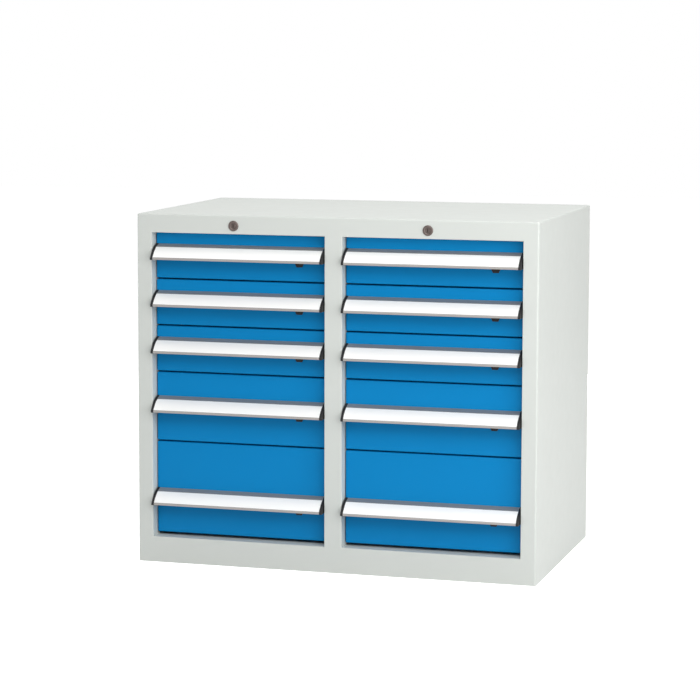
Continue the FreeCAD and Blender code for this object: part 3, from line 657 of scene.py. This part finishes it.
front_meshes = {}
for tag, drawer in drawers.items():
    if drawer["module"] not in front_meshes:
        handle_rise = drawer["handle"][2] - drawer["at"][2]
        front_meshes[drawer["module"]] = hollow_front(drawer["module"], handle_rise)
    set_piece(
        front_meshes[drawer["module"]], f"drawer_front_{tag}", blue_coat,
        f"drawer_{tag}", [f"drawer_{tag}"], drawer["at"],
    )


# Drawer trays: folded from one sheet, welded at the corners and to the back of the front,
# with the rim turned in and down. Coated blue with the front.
TRAY_HALF = 178.5 * mm
TRAY_FLOOR = 10 * mm
TRAY_HEADROOM = 15 * mm
TRAY_LENGTH = 470 * mm
TRAY_BEND = 1.5 * mm
TRAY_STEPS = 3
RIM_WIDTH = 5 * mm
RIM_TURN = 6 * mm
STRIKER_X = (-16 * mm, 0)
STRIKER_RISE = 45 * mm
STRIKER_REACH = 14 * mm
STRIKER_DROP = 10 * mm
STRIKER_WALL = 2 * mm
STRIKER_EDGE = 0.5 * mm


def tray(module):
    """The mesh of a tray for a drawer that takes up this height."""
    built = bmesh.new()
    rim_z = module - TRAY_HEADROOM
    add_box(
        built, (-TRAY_HALF, front_back, TRAY_FLOOR), (TRAY_HALF, front_back + TRAY_LENGTH, rim_z),
        left_off=("top",),
    )
    rim = [edge for edge in built.edges if len(edge.link_faces) == 1]
    for inward, down in ((RIM_WIDTH, 0), (0, RIM_TURN)):
        pulled = bmesh.ops.extrude_edge_only(built, edges=rim)["geom"]
        rim = [
            item for item in pulled
            if isinstance(item, bmesh.types.BMEdge) and len(item.link_faces) == 1
        ]
        middle_y = front_back + TRAY_LENGTH / 2
        for item in pulled:
            if isinstance(item, bmesh.types.BMVert):
                item.co.x -= math.copysign(inward, item.co.x)
                item.co.y -= math.copysign(inward, item.co.y - middle_y)
                item.co.z -= down
    bmesh.ops.recalc_face_normals(built, faces=built.faces)
    floor_faces = [one for one in built.faces if one.calc_center_median().z < TRAY_FLOOR + mm]
    if floor_faces[0].normal.z > 0:
        bmesh.ops.reverse_faces(built, faces=built.faces)
    built.normal_update()
    round_edges(built, folds(built, least=60), TRAY_BEND, TRAY_STEPS)
    return shaped(built, "tray", DRAWER_SHEET)


def striker():
    """The mesh of the small bracket behind a tray that the locking bar's hook holds."""
    built = bmesh.new()
    top = TRAY_FLOOR + STRIKER_RISE
    near = front_back + TRAY_LENGTH
    far = near + STRIKER_REACH
    outline = [
        (near, top), (far - STRIKER_WALL, top), (far - STRIKER_WALL, top - STRIKER_DROP),
        (far, top - STRIKER_DROP), (far, top + STRIKER_WALL), (near, top + STRIKER_WALL),
    ]
    add_prism(built, outline, "x", *STRIKER_X)
    round_edges(built, folds(built), STRIKER_EDGE)
    return shaped(built, "striker")


tray_meshes = {}
striker_mesh = striker()
for tag, drawer in drawers.items():
    if drawer["module"] not in tray_meshes:
        tray_meshes[drawer["module"]] = tray(drawer["module"])
    for mesh, name in ((tray_meshes[drawer["module"]], "tray"), (striker_mesh, "striker")):
        set_piece(
            mesh, f"{name}_{tag}", blue_coat, f"drawer_{tag}", [f"drawer_{tag}"],
            drawer["at"],
        )


# Slides: three nested channels of zinc-plated strip each side of a drawer. The inner one is
# riveted to the tray, the middle one runs out half as far, the fixed one stays on its feet.
ZINC = (0.58, 0.60, 0.62, 1)
STREAK_TONE = (0.80, 0.80, 0.80, 1)
NOISE_MIDDLE = 0.5
SLIDE_FROM_FRONT = 2 * mm
SLIDE_LENGTH = 450 * mm
SLIDE_RISE = 38 * mm
SLIDE_WALL = 1.5 * mm
SLIDE_EDGE = 0.45 * mm
JAMB_PLAY = 1.5 * mm
INNER_CHANNEL = {"web": (11.5 * mm, 13.0 * mm), "edge": 4.1 * mm, "half": 18.4 * mm}
MIDDLE_CHANNEL = {"web": (3.8 * mm, 2.3 * mm), "edge": 10.0 * mm, "half": 20.2 * mm}
RIVET_RADIUS = 3.2 * mm
RIVET_HEIGHT = 1.1 * mm
RIVET_PLACES = (30 * mm, 160 * mm, 290 * mm, 420 * mm)
slide_start = front_back + SLIDE_FROM_FRONT
jamb_line = front_half + JAMB_PLAY


def metal_grain():
    """Node group of drawn or rolled metal: streaks along its length, and a faint cloudiness."""
    group = bpy.data.node_groups.new("metal_grain", "ShaderNodeTree")
    for name, kind in (
        ("Colour", "Color"), ("Stretch", "Vector"), ("Roughness", "Float"), ("Spread", "Float"),
    ):
        group.interface.new_socket(name, in_out="INPUT", socket_type=f"NodeSocket{kind}")
    for name, kind in (("Colour", "Color"), ("Roughness", "Float"), ("Height", "Float")):
        group.interface.new_socket(name, in_out="OUTPUT", socket_type=f"NodeSocket{kind}")
    nodes, links = group.nodes, group.links
    inputs = nodes.new("NodeGroupInput")
    outputs = nodes.new("NodeGroupOutput")
    where = nodes.new("ShaderNodeTexCoord")
    stretched = nodes.new("ShaderNodeVectorMath")
    stretched.operation = "MULTIPLY"
    links.new(where.outputs["Object"], stretched.inputs[0])
    links.new(inputs.outputs["Stretch"], stretched.inputs[1])
    streaks = nodes.new("ShaderNodeTexNoise")
    streaks.inputs["Scale"].default_value = 1
    streaks.inputs["Detail"].default_value = 4
    links.new(stretched.outputs["Vector"], streaks.inputs["Vector"])
    tone = nodes.new("ShaderNodeMix")
    tone.data_type = "RGBA"
    tone.blend_type = "MULTIPLY"
    tone.inputs["B"].default_value = STREAK_TONE
    links.new(streaks.outputs["Fac"], tone.inputs["Factor"])
    links.new(inputs.outputs["Colour"], tone.inputs["A"])
    centred = nodes.new("ShaderNodeMath")
    centred.operation = "SUBTRACT"
    centred.inputs[1].default_value = NOISE_MIDDLE
    links.new(streaks.outputs["Fac"], centred.inputs[0])
    roughness = nodes.new("ShaderNodeMath")
    roughness.operation = "MULTIPLY_ADD"
    links.new(centred.outputs["Value"], roughness.inputs[0])
    links.new(inputs.outputs["Spread"], roughness.inputs[1])
    links.new(inputs.outputs["Roughness"], roughness.inputs[2])
    links.new(tone.outputs["Result"], outputs.inputs["Colour"])
    links.new(roughness.outputs["Value"], outputs.inputs["Roughness"])
    links.new(streaks.outputs["Fac"], outputs.inputs["Height"])
    return group


drawn_metal = metal_grain()
zinc_plate, zinc_shader = finish_from(
    drawn_metal, "zinc_plate",
    {"Colour": ZINC, "Stretch": (900, 12, 900), "Roughness": 0.36, "Spread": 0.2},
    bump_depth=0.02 * mm, bump_strength=0.3,
)
zinc_shader.inputs["Metallic"].default_value = 1


def slide_pair(name, channel):
    """The mesh of one member of both slides of a drawer, left and right."""
    built = bmesh.new()
    web_inside, web_face = channel["web"]
    half = channel["half"]
    inside = half - SLIDE_WALL
    for hand in (-1, 1):
        outline = [
            (hand * (jamb_line - across), SLIDE_RISE + up)
            for across, up in (
                (web_face, -half), (channel["edge"], -half), (channel["edge"], -inside),
                (web_inside, -inside), (web_inside, inside), (channel["edge"], inside),
                (channel["edge"], half), (web_face, half),
            )
        ]
        add_prism(built, outline, "y", slide_start, slide_start + SLIDE_LENGTH)
    round_edges(built, folds(built), SLIDE_EDGE)
    return shaped(built, name)


rivet_dome = [
    (RIVET_RADIUS * across, RIVET_HEIGHT * up)
    for across, up in ((1, 0), (1, 0.3), (0.8, 0.75), (0.45, 0.97), (0, 1))
]
rivets = bmesh.new()
for hand in (-1, 1):
    tray_inside = hand * (TRAY_HALF - DRAWER_SHEET)
    for along in RIVET_PLACES:
        rivet_at = (tray_inside, slide_start + along, SLIDE_RISE)
        add_turned(rivets, rivet_dome, rivet_at, (-hand, 0, 0), steps=20)
rivets_mesh = shaped(rivets, "slide_rivets")
inner_mesh = slide_pair("slide_inner", INNER_CHANNEL)
middle_mesh = slide_pair("slide_middle", MIDDLE_CHANNEL)
for tag, drawer in drawers.items():
    set_piece(
        rivets_mesh, f"slide_rivets_{tag}", zinc_plate, f"drawer_{tag}",
        [f"drawer_{tag}"], drawer["at"],
    )
    set_piece(
        inner_mesh, f"slide_inner_{tag}", zinc_plate, f"drawer_{tag}",
        [f"drawer_{tag}"], drawer["at"],
    )
    set_piece(
        middle_mesh, f"slide_runner_{tag}", zinc_plate, f"slide_{tag}",
        [f"slide_middle_{tag}"], drawer["at"],
    )


# Fixed channels and locking bars: zinc-plated strip too, the channels on stand-offs from casing
# and partition. All are closed in, so the CAD solids stand for them as they are.
for node in ("fixed_rails", "lock_bar_left", "lock_bar_right"):
    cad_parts[node].data.materials.clear()
    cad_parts[node].data.materials.append(zinc_plate)


# Handles: one aluminium section across each front, satin anodised, hung by its flange on the
# drawer's face. Its curved label face has a shallow channel between two lips for the strip.
ALUMINIUM = (0.37, 0.355, 0.34, 1)
HANDLE_HALF = 184.5 * mm
HANDLE_DEPTH = 40 * mm
HANDLE_HEIGHT = 32 * mm
SHELF_DEPTH = 12 * mm
SHELF_FALL = 5 * mm
NOSE_HEIGHT = 3.5 * mm
FACE_BULGE = 2.5 * mm
FACE_STEPS = 8
LIP_DEPTH = 8 * mm
FLANGE_HEIGHT = 12 * mm
SECTION_WALL = 2 * mm
TOP_LIP = 2.5 * mm
LOW_LIP = 2 * mm
CHANNEL_DEPTH = 1 * mm
SECTION_EDGE = 0.3 * mm
aluminium, aluminium_shader = finish_from(
    drawn_metal, "aluminium",
    {"Colour": ALUMINIUM, "Stretch": (6, 1400, 1400), "Roughness": 0.48, "Spread": 0.22},
    bump_depth=0.02 * mm, bump_strength=0.35,
)
aluminium_shader.inputs["Metallic"].default_value = 0.6

face_top = Vector((SHELF_DEPTH, HANDLE_HEIGHT - SHELF_FALL))
face_nose = Vector((HANDLE_DEPTH, NOSE_HEIGHT))
face_chord = face_nose - face_top
chord_way = face_chord.normalized()
chord_out = Vector((-chord_way.y, chord_way.x))
face_radius = face_chord.length ** 2 / (8 * FACE_BULGE) + FACE_BULGE / 2
face_middle = (face_nose + face_top) / 2
face_centre = face_middle - chord_out * (face_radius - FACE_BULGE)
face_half_turn = math.asin(face_chord.length / 2 / face_radius)
face_length = 2 * face_half_turn * face_radius


def along_label_face(start, end, deep, steps=FACE_STEPS):
    """Points of the handle's section down its curved face, from the top edge, and in from it."""
    points = []
    for step in range(steps + 1):
        turn = (start + (end - start) * step / steps) / face_radius - face_half_turn
        way = chord_out * math.cos(turn) + chord_way * math.sin(turn)
        points.append(face_centre + way * (face_radius - deep))
    return points


def at_front(points, base):
    """Points out from the drawer's face and up from a base, as places in the cabinet's frame."""
    return [(front_y - out, base + up) for out, up in points]


def long_edges(built, point):
    """The edges of a prism that run along X through one point of its section."""
    across = Vector(at_front([point], 0)[0])
    return [
        edge for edge in built.edges
        if abs(edge.verts[0].co.x - edge.verts[1].co.x) > mm
        and all((vertex.co.yz - across).length < SAME_PLACE for vertex in edge.verts)
    ]


handle_section = [
    (0, HANDLE_HEIGHT),
    *along_label_face(0, TOP_LIP, 0, 1),
    *along_label_face(TOP_LIP, face_length - LOW_LIP, CHANNEL_DEPTH),
    *along_label_face(face_length - LOW_LIP, face_length, 0, 1),
    (HANDLE_DEPTH, 0), (HANDLE_DEPTH - LIP_DEPTH, 0), (HANDLE_DEPTH - LIP_DEPTH, SECTION_WALL),
    (HANDLE_DEPTH - SECTION_WALL, SECTION_WALL),
    *along_label_face(face_length - SECTION_WALL, SECTION_WALL, SECTION_WALL),
    (SECTION_WALL, HANDLE_HEIGHT - SECTION_WALL * (1 + SHELF_FALL / SHELF_DEPTH)),
    (SECTION_WALL, HANDLE_HEIGHT - FLANGE_HEIGHT), (0, HANDLE_HEIGHT - FLANGE_HEIGHT),
]
handle_built = bmesh.new()
add_prism(handle_built, at_front(handle_section, 0), "x", -HANDLE_HALF, HANDLE_HALF)
round_edges(
    handle_built,
    [
        edge for edge in folds(handle_built, least=20)
        if abs(edge.verts[0].co.x - edge.verts[1].co.x) > HANDLE_HALF
    ],
    SECTION_EDGE,
)
handle_mesh = shaped(handle_built, "handle")
for tag, drawer in drawers.items():
    set_piece(
        handle_mesh, f"handle_section_{tag}", aluminium, f"drawer_{tag}",
        [f"handle_{tag}"], drawer["handle"],
    )


# Label strips: white card under a clear cover, as long as the handle's section. Each is slid
# into the channel of the label face from its end and held by the two lips.
CARD_DEPTH = 0.85 * mm
CARD_PLAY = 0.25 * mm
CARD_EDGE = 0.12 * mm
CARD = (0.95, 0.95, 0.935, 1)
label_card, card_shader = finish_from(
    powder_coat, "label_card", {"Colour": CARD, "Mottle": 0.02, "Roughness": 0.45},
    bump_depth=0.02 * mm, bump_strength=0.1,
)
card_shader.inputs["Coat Weight"].default_value = 0.15
card_shader.inputs["Coat Roughness"].default_value = 0.12

card_span = (TOP_LIP + CARD_PLAY, face_length - LOW_LIP - CARD_PLAY)
card_outline = [
    *along_label_face(*card_span, CHANNEL_DEPTH),
    *along_label_face(*reversed(card_span), CHANNEL_DEPTH - CARD_DEPTH),
]
card_built = bmesh.new()
add_prism(card_built, at_front(card_outline, 0), "x", -HANDLE_HALF, HANDLE_HALF)
round_edges(card_built, folds(card_built), CARD_EDGE)
card_mesh = shaped(card_built, "label_strip")
for tag, drawer in drawers.items():
    set_piece(
        card_mesh, f"label_strip_{tag}", label_card, f"drawer_{tag}",
        [f"handle_{tag}"], drawer["handle"],
    )


# Handle caps: black moulded plastic, pushed on to both ends of the handle. They stand a little
# proud of its section in front, above and below.
CAP_WALL = 5.5 * mm
CAP_RIM = 0.6 * mm
CAP_EDGE = 0.5 * mm
CHIN_RADIUS = 1.5 * mm
CHIN_STEPS = 4
BLACK = (0.011, 0.011, 0.012, 1)
black_plastic, plastic_shader = finish_from(
    powder_coat, "black_plastic", {"Colour": BLACK, "Mottle": 0.3, "Roughness": 0.5},
    bump_depth=0.04 * mm, bump_strength=0.5,
)
plastic_shader.inputs["Specular IOR Level"].default_value = 0.3
cap_nose = (HANDLE_DEPTH + CAP_RIM, NOSE_HEIGHT)
cap_chin = (HANDLE_DEPTH + CAP_RIM, -CAP_RIM)
cap_outline = [
    (0, HANDLE_HEIGHT + CAP_RIM), *along_label_face(0, face_length, -CAP_RIM), cap_nose, cap_chin,
    (0, -CAP_RIM),
]
caps_built = bmesh.new()
for hand in (-1, 1):
    inner_face = hand * HANDLE_HALF
    outer_face = hand * (HANDLE_HALF + CAP_WALL)
    add_prism(caps_built, at_front(cap_outline, 0), "x", inner_face, outer_face)
round_edges(caps_built, long_edges(caps_built, cap_chin), CHIN_RADIUS, CHIN_STEPS)
round_edges(caps_built, folds(caps_built, least=40), CAP_EDGE)
caps_mesh = shaped(caps_built, "handle_caps")
for tag, drawer in drawers.items():
    set_piece(
        caps_mesh, f"end_caps_{tag}", black_plastic, f"drawer_{tag}",
        [f"handle_caps_{tag}"], drawer["handle"],
    )


# Catches: a black ribbed tab under each handle, near its right end, moulded in one with a neck
# through the front and the bar behind it. The bar's nose holds the drawer shut.
CATCH_TAIL = 12 * mm
TAB_HALF = 11 * mm
TAB_DROP = 11 * mm
TAB_WALL = 3.5 * mm
RIB_DEPTH = 0.5 * mm
RIB_WIDTH = 1 * mm
RIB_PITCH = 2.5 * mm
RIB_FROM_TIP = 1 * mm
RIB_FROM_TOP = 2 * mm
CATCH_EDGE = 0.25 * mm
catch_top = CATCH_RISE + CATCH_BAR
face_play = front_y - RUNNING_GAP
tab_outline = [
    (catch_x - CATCH_TIP, -TAB_DROP), (catch_x + CATCH_TIP, -TAB_DROP),
    (catch_x + TAB_HALF, 0), (catch_x + TAB_HALF, catch_top),
    (catch_x - TAB_HALF, catch_top), (catch_x - TAB_HALF, 0),
]
catch_built = bmesh.new()
add_box(
    catch_built,
    (catch_x - CATCH_TAIL, catch_front, CATCH_RISE),
    (front_half - DRAWER_SHEET / 2, catch_front + CATCH_DEPTH, catch_top),
)
add_box(
    catch_built,
    (catch_x - CATCH_TIP, face_play, CATCH_RISE),
    (catch_x + CATCH_TIP, catch_front, catch_top),
)
add_prism(catch_built, tab_outline, "y", face_play - TAB_WALL, face_play)
for step in (-1, 0, 1):
    rib_x = catch_x + step * RIB_PITCH
    add_box(
        catch_built,
        (rib_x - RIB_WIDTH / 2, face_play - TAB_WALL - RIB_DEPTH, RIB_FROM_TIP - TAB_DROP),
        (rib_x + RIB_WIDTH / 2, face_play - TAB_WALL, -RIB_FROM_TOP),
        left_off=("back",),
    )
round_edges(catch_built, folds(catch_built), CATCH_EDGE)
catch_mesh = shaped(catch_built, "catch")
for tag, drawer in drawers.items():
    set_piece(
        catch_mesh, f"drawer_catch_{tag}", black_plastic, f"catch_{tag}",
        [f"catch_{tag}"], drawer["handle"],
    )


# Locks: a barrel with a face ring, held in the top rail by a hexagon nut, and a plug that the
# key turns. Its shaft runs to the back, where a disc and pin lift the locking bar. Dull nickel.
NICKEL = (0.155, 0.125, 0.115, 1)
ROSETTE_RADIUS = 11 * mm
ROSETTE_DEPTH = 2.5 * mm
BARREL_RADIUS = 9.5 * mm
BARREL_DEPTH = 22 * mm
NUT_SIDES = 6
NUT_RADIUS = 13 * mm
NUT_DEPTH = 4 * mm
PLUG_RADIUS = 6 * mm
CRANK_RADIUS = 11 * mm
CRANK_DEPTH = 4 * mm
PIN_RADIUS = 2.5 * mm
PIN_OFFSET = 5 * mm
CHAMFER = 0.5 * mm
RING_RIM = 1.2 * mm
RING_SHOULDER = 1.9 * mm
RING_CROWN = 1.4 * mm
DISH_WIDTH = 1.2 * mm
DISH_FLOOR = 1.6 * mm
PLUG_SINK = 0.2 * mm
KEY_SLOT = {"width": 2 * mm, "depth": 12 * mm, "height": 8 * mm}
nickel, nickel_shader = finish_from(
    drawn_metal, "nickel",
    {"Colour": NICKEL, "Stretch": (700, 700, 700), "Roughness": 0.3, "Spread": 0.2},
    bump_depth=0.01 * mm, bump_strength=0.3,
)
nickel_shader.inputs["Metallic"].default_value = 1

plug_bore = PLUG_RADIUS + TURNING_GAP
barrel_outline = [
    (plug_bore, BARREL_DEPTH), (BARREL_RADIUS - CHAMFER, BARREL_DEPTH),
    (BARREL_RADIUS, BARREL_DEPTH - CHAMFER), (BARREL_RADIUS, 0), (ROSETTE_RADIUS, 0),
    (ROSETTE_RADIUS, -RING_RIM), (ROSETTE_RADIUS - CHAMFER, -RING_SHOULDER),
    (ROSETTE_RADIUS - RING_CROWN, -ROSETTE_DEPTH), (PLUG_RADIUS + DISH_WIDTH, -ROSETTE_DEPTH),
    (plug_bore, -DISH_FLOOR), (plug_bore, BARREL_DEPTH),
]
for side, lock in locks.items():
    axis = (lock["x"], frame_low.y, lock["z"])
    barrel = bmesh.new()
    add_turned(barrel, barrel_outline, axis, (0, 1, 0), steps=64)
    nut_outline = [
        (lock["x"] + NUT_RADIUS * math.cos(turn), lock["z"] + NUT_RADIUS * math.sin(turn))
        for turn in (math.tau * corner / NUT_SIDES for corner in range(NUT_SIDES))
    ]
    add_prism(barrel, nut_outline, "y", frame_low.y + SHEET, frame_low.y + SHEET + NUT_DEPTH)
    set_piece(
        shaped(barrel, f"lock_barrel_{side}"), f"lock_barrel_{side}", nickel,
        "cabinet", ["lock_barrels"],
    )

    crank_y = lock["bar_front"] - RUNNING_GAP - CRANK_DEPTH - frame_low.y
    plug_face = PLUG_SINK - ROSETTE_DEPTH
    plug_outline = [
        (0, plug_face), (PLUG_RADIUS - CHAMFER, plug_face),
        (PLUG_RADIUS, plug_face + CHAMFER), (PLUG_RADIUS, BARREL_DEPTH),
        (SHAFT_RADIUS, BARREL_DEPTH), (SHAFT_RADIUS, crank_y),
        (CRANK_RADIUS, crank_y), (CRANK_RADIUS, crank_y + CRANK_DEPTH), (0, crank_y + CRANK_DEPTH),
    ]
    pin_reach = lock["bar_back"] + RUNNING_GAP - frame_low.y
    pin_outline = [(0, crank_y), (PIN_RADIUS, crank_y), (PIN_RADIUS, pin_reach), (0, pin_reach)]
    plug = bmesh.new()
    add_turned(plug, plug_outline, axis, (0, 1, 0), steps=48)
    pin_at = (axis[0] - PIN_OFFSET, axis[1], axis[2] - PIN_OFFSET)
    add_turned(plug, pin_outline, pin_at, (0, 1, 0), steps=24)
    key_way = bmesh.new()
    slot_half, slot_rise = KEY_SLOT["width"] / 2, KEY_SLOT["height"] / 2
    slot_end = axis[1] - ROSETTE_DEPTH + KEY_SLOT["depth"]
    add_box(
        key_way,
        (axis[0] - slot_half, axis[1] - 2 * ROSETTE_DEPTH, axis[2] - slot_rise),
        (axis[0] + slot_half, slot_end, axis[2] + slot_rise),
    )
    set_piece(
        shaped(plug, f"lock_turner_{side}", cutters=key_way), f"lock_turner_{side}", nickel,
        f"lock_plug_{side}", [f"lock_plug_{side}"],
    )
